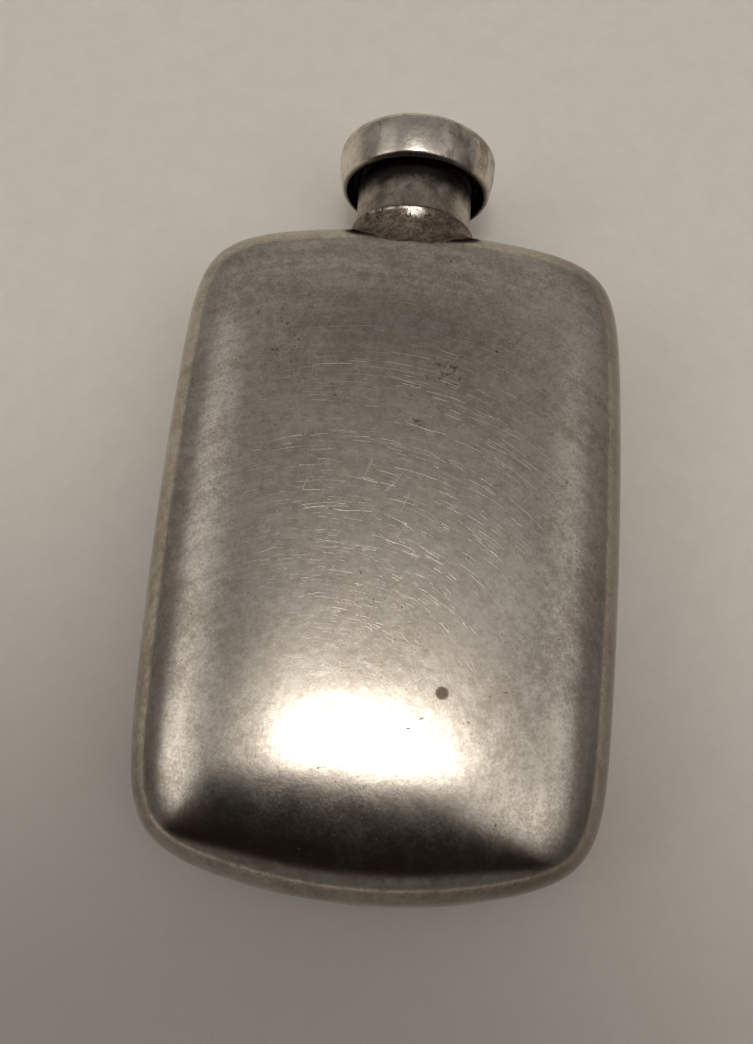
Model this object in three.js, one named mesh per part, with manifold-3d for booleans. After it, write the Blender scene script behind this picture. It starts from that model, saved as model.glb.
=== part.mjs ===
// A small silver needle case in the form of a flask, lying on its back.
//
// Millimetres, +X to the right, +Y along the neck towards the cap, +Z up through the front face.
// The origin is under the middle of the whole object, on the surface that it lies on.
// Heights along the neck are counted from the top of the shoulder, where the case's outline ends.

import * as THREE from 'three';
import * as BufferGeometryUtils from 'three/addons/utils/BufferGeometryUtils.js';
import Module from 'manifold-3d';

const wasm = await Module();
wasm.setup();

// Case: two stamped halves that meet on the mid-plane
const CASE_WIDTH = 30;
const CASE_LENGTH = 44.7;
const FRONT_DEPTH = 5.6;
const BACK_DEPTH = 5.6;
const BACK_CROWN = 5.8;
const SHEET = 0.5;
const SEAM_GAP = 0.1;
const ROLL_WIDTH = CASE_WIDTH / 2;
const ROLL_POWER = 3;
const SIDE_BOW = 0.8;
const SHOULDER_BOW = 2.3;
const BASE_BOW = 3.2;
const EDGE_SQUARENESS = 10.5;
const FACE_SQUARENESS = 3.5;

// Neck: a tube through the shoulder, with a stepped foot outside and a thread at the lip
const NECK_RADIUS = 4.02;
const NECK_BORE_RADIUS = 3.3;
const NECK_CORE_RADIUS = 3.7;
const SPIGOT_RADIUS = 3.88;
const SHOULDER_HOLE_RADIUS = 4.05;
const SPIGOT_END = -3.4;
const FOOT_END = -3.8;
const FOOT_RADIUS = 4.27;
const FOOT_FLARE = -0.2;
const FOOT_EDGE_RADIUS = 4.22;
const FOOT_EDGE = 0.45;
const FOOT_TOP = 0.68;
const PLAIN_TOP = 3.85;
const LIP = 6.2;
const LIP_CHAMFER = 0.15;
const SHOULDER_GAP = 0.12;

// Screw thread, right-handed: a ridge round the neck and one inside the sleeve, half a pitch apart
const PITCH = 0.7;
const NECK_RIDGE = { root: 3.62, base: 3.7, crest: 4.0, from: 4.1, to: 5.9, phase: 0 };
const SLEEVE_RIDGE = { root: 4.22, base: 4.14, crest: 3.84, from: 4.85, to: 6.05, phase: PITCH / 2 };
const RIDGE_BASE_WIDTH = 0.42;
const RIDGE_CREST_WIDTH = 0.14;
const RIDGE_FADE_TURNS = 0.12;
const RIDGE_START = 0.01;

// Cap: a hollow bun, a threaded sleeve inside it and a cork disc at the sleeve's top
const CAP_RADIUS = 5.55;
const CAP_RIM = 3.6;
const CAP_WAIST = 6.3;
const CAP_TOP = 8.05;
const CAP_RIM_RADIUS = 5.14;
const CAP_LIP_RADIUS = 4.94;
const CAP_SHEET = 0.4;
const SLEEVE_OUTER_RADIUS = 4.5;
const SLEEVE_INNER_RADIUS = 4.14;
const SLEEVE_BOTTOM = 4.6;
const SLEEVE_TOP = 6.8;
const LINER_RADIUS = 4.0;
const LINER_BOTTOM = 6.3;
const LINER_TOP = 6.95;
const LINER_EDGE = 0.12;

// Fineness of the facets
const OUTLINE_POINTS = 72;
const OUTER_RINGS = 8;
const INNER_RINGS = 6;
const RING_SPACING_POWER = 2.2;
const INNERMOST_SHARE = 0.93;
const CORNER_CROWDING = 0.12;
const CORNERS = 4;
const ROUND_SEGMENTS = 40;
const CURVE_STEPS = 6;
const CUT_OVERRUN = 2;

// Places in the frame of the whole object
const halfLength = CASE_LENGTH / 2;
const caseCentreY = -CAP_TOP / 2;
const midPlaneZ = BACK_DEPTH;
const shoulderY = caseCentreY + halfLength;

const silver = { color: 0xb9b2a6, roughness: 0.34, metalness: 1.0 };
const tarnishedSilver = { color: 0x8f877b, roughness: 0.45, metalness: 1.0 };
const cork = { color: 0x9a7148, roughness: 0.9, metalness: 0.0 };

// ---------------------------------------------------------------- solids and meshes

function toSolid(geometry) {
  const bare = geometry.index ? geometry.clone() : geometry;
  bare.deleteAttribute('normal');
  bare.deleteAttribute('uv');
  const welded = BufferGeometryUtils.mergeVertices(bare);
  const mesh = new wasm.Mesh({
    numProp: 3,
    vertProperties: new Float32Array(welded.attributes.position.array),
    triVerts: new Uint32Array(welded.index.array),
  });
  return new wasm.Manifold(mesh);
}

function toGeometry(solid) {
  const mesh = solid.getMesh();
  const geometry = new THREE.BufferGeometry();
  geometry.setAttribute('position', new THREE.BufferAttribute(mesh.vertProperties, 3));
  geometry.setIndex(new THREE.BufferAttribute(mesh.triVerts, 1));
  geometry.computeVertexNormals();
  return geometry;
}

function namedMesh(name, geometry, finish) {
  const mesh = new THREE.Mesh(geometry, new THREE.MeshStandardMaterial(finish));
  mesh.name = name;
  return mesh;
}

// A solid of revolution about Y, from an outline of [radius, height] pairs that closes on itself
// or has both ends on the axis
function turned(outline) {
  const points = outline.map(([radius, height]) => new THREE.Vector2(radius, height));
  return new THREE.LatheGeometry(points, ROUND_SEGMENTS);
}

// A plain round bar about Y between two heights
function bar(radius, from, to) {
  return new THREE.CylinderGeometry(radius, radius, to - from, ROUND_SEGMENTS)
    .translate(0, (from + to) / 2, 0);
}

// Skins a stack of closed rings of equal length, and closes the first and the last ring
function loft(rings) {
  const count = rings[0].length;
  const positions = rings.flat().flatMap((point) => point.toArray());
  const faces = [];
  for (let ring = 0; ring + 1 < rings.length; ring += 1) {
    for (let i = 0; i < count; i += 1) {
      const next = (i + 1) % count;
      const here = ring * count;
      const beyond = here + count;
      faces.push([here + i, beyond + i, beyond + next]);
      faces.push([here + i, beyond + next, here + next]);
    }
  }
  const last = (rings.length - 1) * count;
  const lid = THREE.ShapeUtils.triangulateShape(rings[0].map((p) => new THREE.Vector2(p.x, p.y)), []);
  lid.forEach(([a, b, c]) => {
    faces.push([a, b, c]);
    faces.push([last + a, last + c, last + b]);
  });
  const geometry = new THREE.BufferGeometry();
  geometry.setAttribute('position', new THREE.Float32BufferAttribute(positions, 3));
  geometry.setIndex(faces.flat());
  return geometry;
}

// ---------------------------------------------------------------- the case's pillow form

// A point of the bowed, rounded rectangle with the given half sizes, in the direction of a turn
function outlinePoint(turn, halfAcross, halfAlong, squareness) {
  const across = Math.cos(turn) * halfAcross;
  const along = Math.sin(turn) * halfAlong;
  const endBow = along > 0 ? SHOULDER_BOW : BASE_BOW;
  const solverSteps = 20;
  let reach = 1;
  for (let step = 0; step < solverSteps; step += 1) {
    const side = halfAcross - SIDE_BOW * ((along * reach) / halfLength) ** 2;
    const end = halfAlong - endBow * ((across * reach) / ROLL_WIDTH) ** 2;
    const level = Math.abs((across * reach) / side) ** squareness
      + Math.abs((along * reach) / end) ** squareness;
    reach *= level ** (-1 / squareness);
  }
  return new THREE.Vector2(across * reach, along * reach);
}

// One level ring of the pillow: share is 1 at its edge and falls to 0 at the middle of its face
function pillowRing(share, inset, height) {
  const squareness = FACE_SQUARENESS + (EDGE_SQUARENESS - FACE_SQUARENESS) * share ** ROLL_POWER;
  const halfAcross = (ROLL_WIDTH - inset) * share;
  const halfAlong = halfLength - ROLL_WIDTH + halfAcross;
  const ring = [];
  for (let i = 0; i < OUTLINE_POINTS; i += 1) {
    const even = (2 * Math.PI * i) / OUTLINE_POINTS;
    const turn = even + CORNER_CROWDING * Math.sin(CORNERS * even);
    const point = outlinePoint(turn, halfAcross, halfAlong, squareness);
    ring.push(new THREE.Vector3(point.x, point.y, height));
  }
  return ring;
}

function crownHeight(share, crown, land) {
  return Math.min(land, crown * (1 - share ** ROLL_POWER) ** (1 / ROLL_POWER));
}

// The rings of one face of the pillow, from the middle out to its edge on the mid-plane
function pillowFace(inset, crown, land, count, edgeHeight) {
  const rings = [];
  for (let i = count; i >= 0; i -= 1) {
    const share = 1 - INNERMOST_SHARE * (i / count) ** RING_SPACING_POWER;
    const height = i === 0 ? edgeHeight : crownHeight(share, crown - inset, land - inset);
    rings.push(pillowRing(share, inset, height));
  }
  return rings;
}

function placeOnMidPlane(geometry) {
  return geometry.translate(0, caseCentreY, midPlaneZ);
}

// The back is made face up like the front and turned over about Y, which leaves its outline alike
function turnedOver(geometry) {
  return geometry.rotateY(Math.PI);
}

function stampedHalf(crown, land) {
  const outer = pillowFace(0, crown, land, OUTER_RINGS, SEAM_GAP / 2);
  const inner = pillowFace(SHEET, crown, land, INNER_RINGS, SEAM_GAP / 2);
  return loft([...outer, ...inner.reverse()]);
}

// The whole outer form of the case, grown by a clearance, as one solid
function wholePillow(clearance) {
  const front = pillowFace(-clearance, FRONT_DEPTH, FRONT_DEPTH, OUTER_RINGS, 0);
  const back = pillowFace(-clearance, BACK_CROWN, BACK_DEPTH, OUTER_RINGS, 0).reverse().slice(1);
  back.forEach((ring) => ring.forEach((point) => { point.z = -point.z; }));
  return placeOnMidPlane(loft([...front, ...back]));
}

// ---------------------------------------------------------------- the screw thread

// A ridge of trapezoid section wound about Y. Its middle climbs one pitch for each full turn from
// the phase height, and it fades out of the wall at both ends.
function helicalRidge({ root, base, crest, from, to, phase }) {
  const turns = (to - from) / PITCH;
  const steps = Math.round(turns * ROUND_SEGMENTS);
  const firstTurn = (from - phase) / PITCH;
  const rings = [];
  for (let step = 0; step <= steps; step += 1) {
    const done = (turns * step) / steps;
    const angle = 2 * Math.PI * (firstTurn + done);
    const height = phase + (angle / (2 * Math.PI)) * PITCH;
    const toNearerEnd = Math.min(done, turns - done) + RIDGE_START;
    const rise = Math.min(1, toNearerEnd / RIDGE_FADE_TURNS);
    const top = base + (crest - base) * rise;
    const section = [
      [root, -RIDGE_BASE_WIDTH / 2],
      [top, -RIDGE_CREST_WIDTH / 2],
      [top, RIDGE_CREST_WIDTH / 2],
      [root, RIDGE_BASE_WIDTH / 2],
    ];
    rings.push(section.map(([radius, side]) => (
      new THREE.Vector3(radius * Math.sin(angle), height + side, radius * Math.cos(angle)))));
  }
  return sweep(rings, crest > base);
}

// Skins a string of four-cornered sections and closes both ends with two triangles each
function sweep(sections, outward) {
  const corners = sections[0].length;
  const faces = [];
  for (let i = 0; i + 1 < sections.length; i += 1) {
    for (let corner = 0; corner < corners; corner += 1) {
      const next = (corner + 1) % corners;
      const here = i * corners;
      const beyond = here + corners;
      faces.push([here + corner, beyond + corner, beyond + next]);
      faces.push([here + corner, beyond + next, here + next]);
    }
  }
  const last = (sections.length - 1) * corners;
  faces.push([0, 1, 2], [0, 2, 3]);
  faces.push([last, last + 2, last + 1], [last, last + 3, last + 2]);
  const facing = outward ? faces : faces.map(([a, b, c]) => [a, c, b]);
  const geometry = new THREE.BufferGeometry();
  const positions = sections.flat().flatMap((point) => point.toArray());
  geometry.setAttribute('position', new THREE.Float32BufferAttribute(positions, 3));
  geometry.setIndex(facing.flat());
  return geometry;
}

// Neck and cap parts are made about the origin's Y axis with the shoulder at height 0
function placeOnNeck(geometry) {
  return geometry.translate(0, shoulderY, midPlaneZ);
}

// ---------------------------------------------------------------- sub-parts

function shellWithNeckHole(half) {
  const hole = placeOnNeck(bar(SHOULDER_HOLE_RADIUS, SPIGOT_END - CUT_OVERRUN, CUT_OVERRUN));
  return toGeometry(toSolid(half).subtract(toSolid(hole)));
}

function makeFrontShell() {
  return shellWithNeckHole(placeOnMidPlane(stampedHalf(FRONT_DEPTH, FRONT_DEPTH)));
}

function makeBackShell() {
  return shellWithNeckHole(placeOnMidPlane(turnedOver(stampedHalf(BACK_CROWN, BACK_DEPTH))));
}

function makeNeckTube() {
  const outside = toSolid(placeOnNeck(turned([
    [0, FOOT_END],
    [FOOT_RADIUS, FOOT_END],
    [FOOT_RADIUS, FOOT_FLARE],
    [FOOT_EDGE_RADIUS, FOOT_EDGE],
    [NECK_RADIUS, FOOT_TOP],
    [NECK_RADIUS, PLAIN_TOP],
    [NECK_CORE_RADIUS, PLAIN_TOP + LIP_CHAMFER],
    [NECK_CORE_RADIUS, LIP - LIP_CHAMFER],
    [NECK_CORE_RADIUS - LIP_CHAMFER, LIP],
    [0, LIP],
  ])));
  const spigot = toSolid(placeOnNeck(bar(SPIGOT_RADIUS, SPIGOT_END, FOOT_EDGE)));
  const bore = toSolid(placeOnNeck(bar(NECK_BORE_RADIUS, SPIGOT_END - CUT_OVERRUN, LIP + CUT_OVERRUN)));
  const ridge = toSolid(placeOnNeck(helicalRidge(NECK_RIDGE)));
  const solid = outside
    .subtract(toSolid(wholePillow(SHOULDER_GAP)))
    .add(spigot)
    .add(ridge)
    .subtract(bore);
  return toGeometry(solid);
}

// A quarter of an ellipse from its widest point to its end on the given side
function quarterEllipse(radius, endRadius, waist, end) {
  const points = [];
  for (let i = 0; i <= CURVE_STEPS; i += 1) {
    const angle = (Math.PI / 2) * (i / CURVE_STEPS);
    points.push([
      endRadius + (radius - endRadius) * Math.cos(angle),
      waist + (end - waist) * Math.sin(angle),
    ]);
  }
  return points;
}

function makeCapShell() {
  const innerRadius = CAP_RADIUS - CAP_SHEET;
  const innerTopHeight = CAP_TOP - CAP_SHEET;
  const innerRim = CAP_RIM + CAP_SHEET / 2;
  const outerTop = quarterEllipse(CAP_RADIUS, 0, CAP_WAIST, CAP_TOP).reverse();
  const outerBottom = quarterEllipse(CAP_RADIUS, CAP_RIM_RADIUS, CAP_WAIST, CAP_RIM).slice(1);
  const innerBottom = quarterEllipse(innerRadius, CAP_LIP_RADIUS, CAP_WAIST, innerRim);
  const innerTop = quarterEllipse(innerRadius, 0, CAP_WAIST, innerTopHeight).slice(1);
  const outline = [...outerTop, ...outerBottom, ...innerBottom.reverse(), ...innerTop];
  return placeOnNeck(turned(outline.reverse()));
}

function makeCapSleeve() {
  const tube = toSolid(placeOnNeck(turned([
    [SLEEVE_INNER_RADIUS, SLEEVE_BOTTOM],
    [SLEEVE_OUTER_RADIUS, SLEEVE_BOTTOM],
    [SLEEVE_OUTER_RADIUS, SLEEVE_TOP],
    [SLEEVE_INNER_RADIUS, SLEEVE_TOP],
    [SLEEVE_INNER_RADIUS, SLEEVE_BOTTOM],
  ])));
  return toGeometry(tube.add(toSolid(placeOnNeck(helicalRidge(SLEEVE_RIDGE)))));
}

function makeCapLiner() {
  return placeOnNeck(turned([
    [0, LINER_BOTTOM],
    [LINER_RADIUS - LINER_EDGE, LINER_BOTTOM],
    [LINER_RADIUS, LINER_BOTTOM + LINER_EDGE],
    [LINER_RADIUS, LINER_TOP - LINER_EDGE],
    [LINER_RADIUS - LINER_EDGE, LINER_TOP],
    [0, LINER_TOP],
  ]));
}

// ---------------------------------------------------------------- the whole object

const needleCase = new THREE.Group();

const caseGroup = new THREE.Group();
caseGroup.add(namedMesh('front_shell', makeFrontShell(), silver));
caseGroup.add(namedMesh('back_shell', makeBackShell(), silver));
caseGroup.add(namedMesh('neck_tube', makeNeckTube(), tarnishedSilver));
needleCase.add(caseGroup);

const capGroup = new THREE.Group();
capGroup.add(namedMesh('cap_shell', makeCapShell(), silver));
capGroup.add(namedMesh('cap_sleeve', makeCapSleeve(), tarnishedSilver));
capGroup.add(namedMesh('cap_liner', makeCapLiner(), cork));
needleCase.add(capGroup);

export default needleCase;
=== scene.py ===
"""A small silver needle case in the form of a flask, lying on its back on pale paper.

Lengths are written in millimetres and turned into metres where a mesh, a light or the camera is
made. The row frame has +X to the right, +Y along the neck towards the cap and +Z up through the
front face. Heights along the neck are counted from the top of the shoulder.
"""

import math

import bmesh
import bpy
import numpy as np
from mathutils import Euler, Matrix, Vector


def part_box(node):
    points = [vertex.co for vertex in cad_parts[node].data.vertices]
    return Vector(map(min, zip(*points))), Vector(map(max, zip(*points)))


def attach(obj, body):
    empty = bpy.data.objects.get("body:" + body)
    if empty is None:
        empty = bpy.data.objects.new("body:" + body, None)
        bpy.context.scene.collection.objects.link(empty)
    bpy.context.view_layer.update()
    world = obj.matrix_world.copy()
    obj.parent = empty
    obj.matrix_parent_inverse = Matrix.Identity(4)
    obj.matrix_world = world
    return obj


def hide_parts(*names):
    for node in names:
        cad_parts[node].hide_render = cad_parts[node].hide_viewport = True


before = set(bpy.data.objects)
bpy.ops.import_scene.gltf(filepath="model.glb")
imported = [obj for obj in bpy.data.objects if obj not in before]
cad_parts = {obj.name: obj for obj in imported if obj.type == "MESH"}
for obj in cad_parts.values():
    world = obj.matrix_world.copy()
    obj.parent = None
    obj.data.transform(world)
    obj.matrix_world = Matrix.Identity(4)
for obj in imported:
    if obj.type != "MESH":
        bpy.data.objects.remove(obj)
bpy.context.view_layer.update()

MM = 0.001


def cad_box(node):
    """The lowest and highest corner of a CAD node, in millimetres."""
    low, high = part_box(node)
    return np.array(low) / MM, np.array(high) / MM


# ---------------------------------------------------------------- sizes, in millimetres

FRONT_LOW, FRONT_HIGH = cad_box("front_shell")
BACK_HIGH = cad_box("back_shell")[1]
NECK_HIGH = cad_box("neck_tube")[1]
CAP_LOW, CAP_HIGH = cad_box("cap_shell")

# The case
HALF_WIDTH = (FRONT_HIGH[0] - FRONT_LOW[0]) / 2
HALF_LENGTH = (FRONT_HIGH[1] - FRONT_LOW[1]) / 2
CASE_CENTRE_Y = (FRONT_HIGH[1] + FRONT_LOW[1]) / 2
SEAM_GAP = FRONT_LOW[2] - BACK_HIGH[2]
MID_PLANE = (FRONT_LOW[2] + BACK_HIGH[2]) / 2
DEPTH = FRONT_HIGH[2] - MID_PLANE
BACK_EXTRA_CROWN = 0.2
BACK_CROWN = DEPTH + BACK_EXTRA_CROWN
SHEET = 0.5
ROLL_POWER = 3
SIDE_BOW = 0.8
SHOULDER_BOW = 2.3
BASE_BOW = 3.2
EDGE_SQUARENESS = 10.5
FACE_SQUARENESS = 3.5

# Round the neck the sheet stands up, most at this share of the depth and this far to each side
SEAT_RISE = 0.28
SEAT_HEIGHT = 0.74
SEAT_SPAN = 0.16
SEAT_HALF_WIDTH = 5.0

# The seam's solder, as thick as the gap and a little more
SOLDER_DEPTH = 0.16
SOLDER_PROUD = 0.012
SOLDER_OVERLAP = 0.03
SOLDER_CORNERS = 8

# The neck and the cap, along their common axis
SHOULDER_Y = FRONT_HIGH[1]
LIP = NECK_HIGH[1] - SHOULDER_Y
BORE_RADIUS = 3.3
SPIGOT_RADIUS = 3.88
SPIGOT_END = -3.4
HOLE_RADIUS = 4.05
HOLE_CUTTER_LENGTH = 12.0
FOOT_RADIUS = 4.27
FOOT_FLAT = 0.17
FOOT_LEAN = 0.1
FOOT_LEVEL = -0.2
FOOT_SUNK = 0.25
FOOT_BEAD = 0.035
FOOT_EDGE = 0.36
FOOT_TOP = 0.66
NECK_RADIUS = 4.02
CORE_RADIUS = 3.7
PLAIN_TOP = 3.85
LIP_ROUND = 0.12
FINE_EDGE = 0.04
PITCH = 0.7
RIDGE_HALF_BASE = 0.21
RIDGE_HALF_CREST = 0.07
RIDGE_FADE_TURNS = 0.12
CAP_RADIUS = (CAP_HIGH[0] - CAP_LOW[0]) / 2
CAP_RIM = CAP_LOW[1] - SHOULDER_Y
CAP_TOP = CAP_HIGH[1] - SHOULDER_Y
CAP_WAIST = 6.3
CAP_RIM_RADIUS = 5.1
CAP_LIP_RADIUS = 4.84
CAP_SHEET = 0.4
SLEEVE_OUTER_RADIUS = 4.5
SLEEVE_INNER_RADIUS = 4.14
SLEEVE_BOTTOM = 4.6
SLEEVE_TOP = 6.8
LINER_RADIUS = 4.0
LINER_BOTTOM = 6.3
LINER_TOP = 6.95
LINER_ROUND = 0.14
POLE = 0.02

# The screw ridges: the wall they stand on, their foot and crest, and where they begin and end
NECK_RIDGE = {"wall": CORE_RADIUS, "root": 3.62, "crest": 4.0, "low": 4.1, "high": 5.9, "phase": 0}
SLEEVE_RIDGE = {
    "wall": SLEEVE_INNER_RADIUS,
    "root": 4.22,
    "crest": 3.84,
    "low": 4.85,
    "high": 6.05,
    "phase": PITCH / 2,
}

# Fineness of the meshes
OUTLINE_POINTS = 384
FACE_RINGS = 72
RING_SPACING_POWER = 2.2
CORNER_CROWDING = 0.12
CORNERS = 4
ROUND_SEGMENTS = 192
FILLET_STEPS = 10
OUTLINE_SOLVER_STEPS = 20
SHOULDER_SOLVER_STEPS = 4
SMALLEST_RING = 0.02


# ---------------------------------------------------------------- meshes


def as_piece(name, points, faces, material, body, replaced=(), sharp=35, inside=None):
    """A Blender object from points in millimetres in the row frame, riding on a CAD body.

    inside is a second material and the numbers of the first and last face that wear it.
    """
    mesh = bpy.data.meshes.new(name)
    mesh.from_pydata([tuple(p) for p in np.asarray(points) * MM], [], faces)
    mesh.validate()
    mesh.update()
    piece = bpy.data.objects.new(name, mesh)
    bpy.context.scene.collection.objects.link(piece)
    finish_mesh(piece, sharp)
    mesh.materials.append(material)
    if inside:
        lining, first, last = inside
        mesh.materials.append(lining)
        for number in range(first, last):
            mesh.polygons[number].material_index = 1
    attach(piece, body)
    if replaced:
        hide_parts(*replaced)
    return piece


def finish_mesh(piece, sharp):
    """Faces outwards, smooth except where the surface turns by more than the sharp angle."""
    work = bmesh.new()
    work.from_mesh(piece.data)
    bmesh.ops.recalc_face_normals(work, faces=work.faces)
    work.to_mesh(piece.data)
    work.free()
    piece.data.shade_smooth()
    piece.data.set_sharp_from_angle(angle=math.radians(sharp))


def skin_rings(rings, closed=False):
    """Points and faces for a stack of closed rings; a closed stack joins its last to its first."""
    count = len(rings[0])
    points = np.concatenate(rings)
    faces = []
    stack = len(rings) if closed else len(rings) - 1
    for ring in range(stack):
        here = ring * count
        beyond = ((ring + 1) % len(rings)) * count
        for i in range(count):
            step = (i + 1) % count
            faces.append((here + i, here + step, beyond + step, beyond + i))
    return points, faces


def unevenness(points, wavelength, seed, waves=14):
    """A smooth random height, about -1 to 1, at each point: a sum of waves in all directions."""
    draw = np.random.RandomState(seed)
    total = np.zeros(len(points))
    for _ in range(waves):
        direction = draw.normal(size=3)
        direction /= np.linalg.norm(direction)
        length = wavelength * draw.uniform(0.7, 1.6)
        phase = draw.uniform(0, 2 * math.pi)
        total += np.cos(points @ direction * 2 * math.pi / length + phase)
    return total / math.sqrt(waves)


# ---------------------------------------------------------------- the case's pillow form


def outline(half_across, half_along, squareness):
    """A bowed, rounded rectangle with the given half sizes, as x and y from the case's centre."""
    even = np.linspace(0, 2 * math.pi, OUTLINE_POINTS, endpoint=False)
    turn = even + CORNER_CROWDING * np.sin(CORNERS * even)
    x = np.cos(turn) * half_across
    y = np.sin(turn) * half_along
    bow = np.where(y > 0, SHOULDER_BOW, BASE_BOW)
    for _ in range(OUTLINE_SOLVER_STEPS):
        side = half_across - SIDE_BOW * (y / HALF_LENGTH) ** 2
        end = half_along - bow * (x / HALF_WIDTH) ** 2
        level = np.abs(x / side) ** squareness + np.abs(y / end) ** squareness
        reach = level ** (-1 / squareness)
        x = x * reach
        y = y * reach
    return x, y


def squareness_at(share):
    return FACE_SQUARENESS + (EDGE_SQUARENESS - FACE_SQUARENESS) * share**ROLL_POWER


def seat_rise(x, height):
    """How far the sheet stands up round the neck, where it was drawn up to give the foot a seat."""
    off_seat = (np.abs(height) / DEPTH - SEAT_HEIGHT) / SEAT_SPAN
    return SEAT_RISE * np.exp(-(off_seat**2)) * np.exp(-((x / SEAT_HALF_WIDTH) ** 2))


def pillow_ring(share, inset, height):
    """One level ring of the pillow. share is 1 at its edge and 0 at the middle of its face."""
    half_across = (HALF_WIDTH - inset) * share
    half_along = HALF_LENGTH - HALF_WIDTH + half_across
    x, y = outline(half_across, half_along, squareness_at(share))
    y = y + np.where(y > 0, seat_rise(x, height), 0)
    return np.column_stack([x, y + CASE_CENTRE_Y, np.full_like(x, MID_PLANE + height)])


def crown_height(share, crown, land):
    return min(land, crown * (1 - share**ROLL_POWER) ** (1 / ROLL_POWER))


def pillow_face(inset, crown, land, side):
    """The rings of one face, from its edge on the mid-plane to its middle. side is 1 in front."""
    rings = []
    for i in range(FACE_RINGS + 1):
        share = 1 - (1 - SMALLEST_RING) * (i / FACE_RINGS) ** RING_SPACING_POWER
        height = SEAM_GAP / 2 if i == 0 else crown_height(share, crown - inset, land - inset)
        rings.append(pillow_ring(share, inset, side * height))
    return rings


def shoulder_y(x, z):
    """How far along Y the shoulder's surface lies over a point x, z, counted from its top."""
    depth = np.abs(z - MID_PLANE)
    crown = np.where(z > MID_PLANE, DEPTH, BACK_CROWN)
    share = np.maximum(1 - (depth / crown) ** ROLL_POWER, 0) ** (1 / ROLL_POWER)
    squareness = squareness_at(share)
    half_across = HALF_WIDTH * share
    half_along = HALF_LENGTH - HALF_WIDTH + half_across
    end = half_along - SHOULDER_BOW * (x / HALF_WIDTH) ** 2
    y = end
    for _ in range(SHOULDER_SOLVER_STEPS):
        side = half_across - SIDE_BOW * (y / HALF_LENGTH) ** 2
        y = end * np.maximum(1 - np.abs(x / side) ** squareness, 0) ** (1 / squareness)
    return y + seat_rise(x, depth) - HALF_LENGTH


# Dents and hammer marks too shallow to see as such, which make the reflections waver
LONG_WAVE, LONG_DEPTH = 17.0, 0.022
SHORT_WAVE, SHORT_DEPTH = 5.0, 0.0028
SHELL_SHARP = 30


def make_shell(name, node, side, crown, material, seed):
    """One stamped half: an outer face, an inner face, and the flat rim that meets the other half."""
    outer = pillow_face(0, crown, DEPTH, side)
    inner = pillow_face(SHEET, crown, DEPTH, side)
    rings = outer[::-1] + inner
    points, faces = skin_rings(rings)
    height = np.clip(np.abs(points[:, 2] - MID_PLANE) / DEPTH, 0, 1)
    wave = LONG_DEPTH * unevenness(points, LONG_WAVE, seed)
    wave += SHORT_DEPTH * unevenness(points, SHORT_WAVE, seed + 1)
    points[:, 2] -= side * np.maximum(wave + LONG_DEPTH, 0) * height**2
    last = (len(rings) - 1) * OUTLINE_POINTS
    outer_middle = points[:OUTLINE_POINTS].mean(axis=0)
    inner_middle = points[last:].mean(axis=0)
    points = np.vstack([points, outer_middle, inner_middle])
    for i in range(OUTLINE_POINTS):
        step = (i + 1) % OUTLINE_POINTS
        faces.append((i, step, len(points) - 2))
        faces.append((last + i, last + step, len(points) - 1))
    piece = as_piece(name, points, faces, material, "case", [node], sharp=SHELL_SHARP)
    cut_neck_hole(piece)
    return piece


def cut_neck_hole(piece):
    """Cuts the round hole for the neck through the shoulder."""
    bpy.ops.mesh.primitive_cylinder_add(
        vertices=ROUND_SEGMENTS,
        radius=HOLE_RADIUS * MM,
        depth=HOLE_CUTTER_LENGTH * MM,
        location=(0, SHOULDER_Y * MM, MID_PLANE * MM),
        rotation=(math.pi / 2, 0, 0),
    )
    bar = bpy.context.active_object
    cut = piece.modifiers.new("neck_hole", "BOOLEAN")
    cut.operation = "DIFFERENCE"
    cut.solver = "EXACT"
    cut.object = bar
    graph = bpy.context.evaluated_depsgraph_get()
    result = bpy.data.meshes.new_from_object(piece.evaluated_get(graph))
    piece.modifiers.clear()
    old = piece.data
    piece.data = result
    bpy.data.meshes.remove(old)
    bpy.data.objects.remove(bar)
    piece.data.shade_smooth()
    piece.data.set_sharp_from_angle(angle=math.radians(SHELL_SHARP))


def make_seam(material):
    """The fine line of solder that joins the two halves, a little proud and uneven."""
    ring = pillow_ring(1, 0, 0)
    swell = unevenness(ring, 6.0, seed=31) * SOLDER_PROUD
    forward = np.roll(ring, -1, axis=0) - np.roll(ring, 1, axis=0)
    outward = np.column_stack([forward[:, 1], -forward[:, 0], np.zeros(len(ring))])
    outward /= np.linalg.norm(outward, axis=1)[:, None]
    rings = []
    for i in range(SOLDER_CORNERS):
        angle = 2 * math.pi * i / SOLDER_CORNERS
        out = (np.cos(angle) * SOLDER_DEPTH / 2 - SOLDER_DEPTH / 2 + SOLDER_PROUD) + swell
        up = np.sin(angle) * (SEAM_GAP / 2 + SOLDER_OVERLAP)
        rings.append(ring + outward * out[:, None] + np.array([0, 0, up]))
    points, faces = skin_rings(rings, closed=True)
    return as_piece("seam_solder", points, faces, material, "case")


# ---------------------------------------------------------------- turned parts


def turn(columns, closed=True):
    """Skins a profile turned about the neck's axis.

    columns is a list of (radius, height) pairs along the profile; either may be an array with one
    value for each of the ROUND_SEGMENTS directions round the axis.
    """
    angle = directions()
    rings = []
    for radius, height in columns:
        radius = np.broadcast_to(radius, angle.shape)
        height = np.broadcast_to(height, angle.shape)
        x = radius * np.sin(angle)
        z = MID_PLANE + radius * np.cos(angle)
        rings.append(np.column_stack([x, SHOULDER_Y + height, z]))
    return skin_rings(rings, closed=closed)


def directions():
    """The directions round the neck's axis, counted from the front towards the right."""
    return np.linspace(0, 2 * math.pi, ROUND_SEGMENTS, endpoint=False)


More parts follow.
